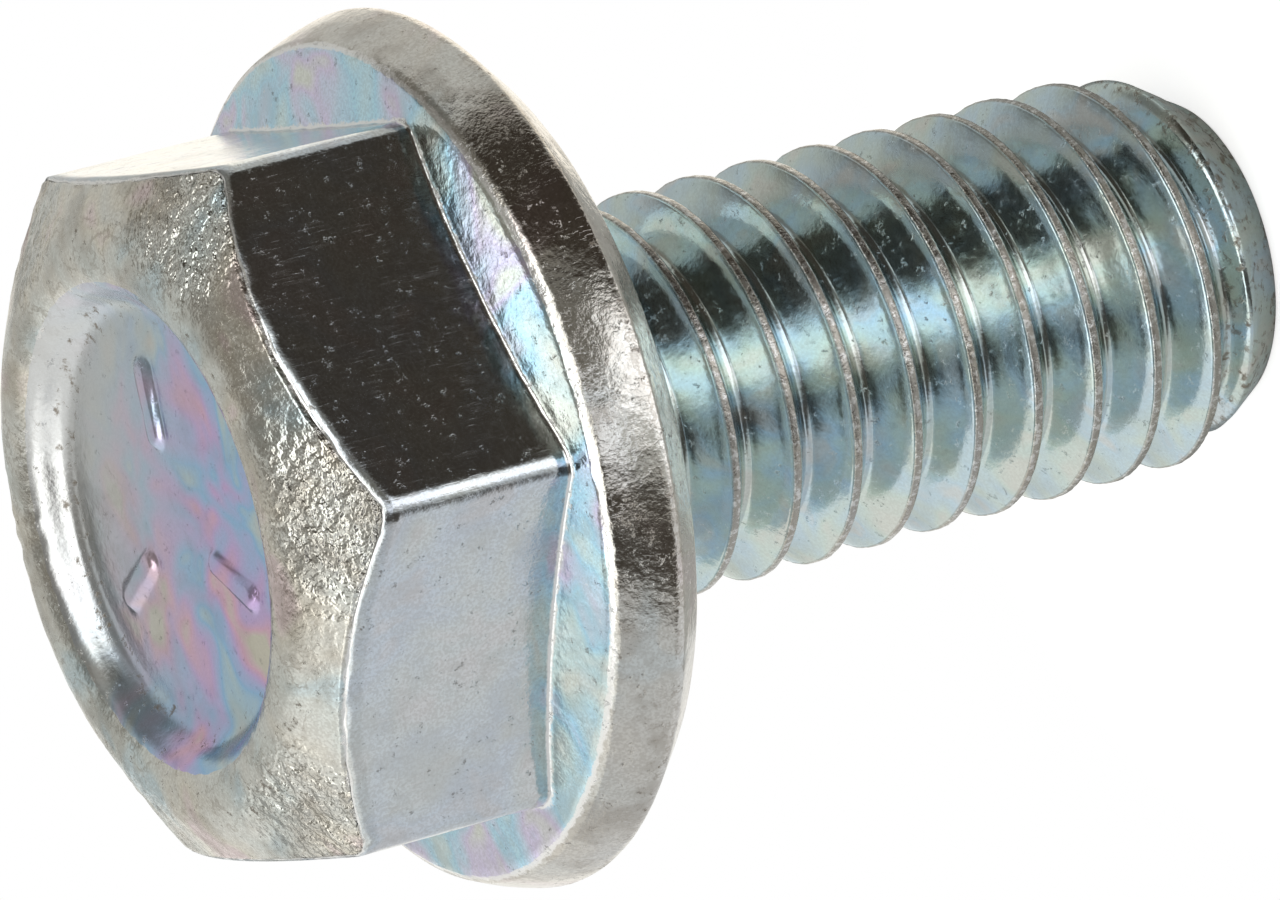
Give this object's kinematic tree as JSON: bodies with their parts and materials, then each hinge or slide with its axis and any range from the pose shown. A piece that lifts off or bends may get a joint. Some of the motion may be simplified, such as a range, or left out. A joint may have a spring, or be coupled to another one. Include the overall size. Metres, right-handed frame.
{
  "type": "flange bolt",
  "caption": "Hexagon flange bolt with a dished head, a fixed round flange and a fully threaded metric shank, zinc plated.",
  "frame": {"origin": "centre of the bearing face under the flange, on the bolt axis", "axes": "+Z along the bolt axis towards the head, so the threaded shank runs down to -Z; hexagon corners on +X and -X"},
  "size_m": [0.0128, 0.0128, 0.0174],
  "materials": {
    "zinc_plated_steel": "blue passivated zinc, satin with bright worn edges"
  },
  "bodies": {
    "root": {"bolt": "zinc_plated_steel"}
  },
  "joints": []
}
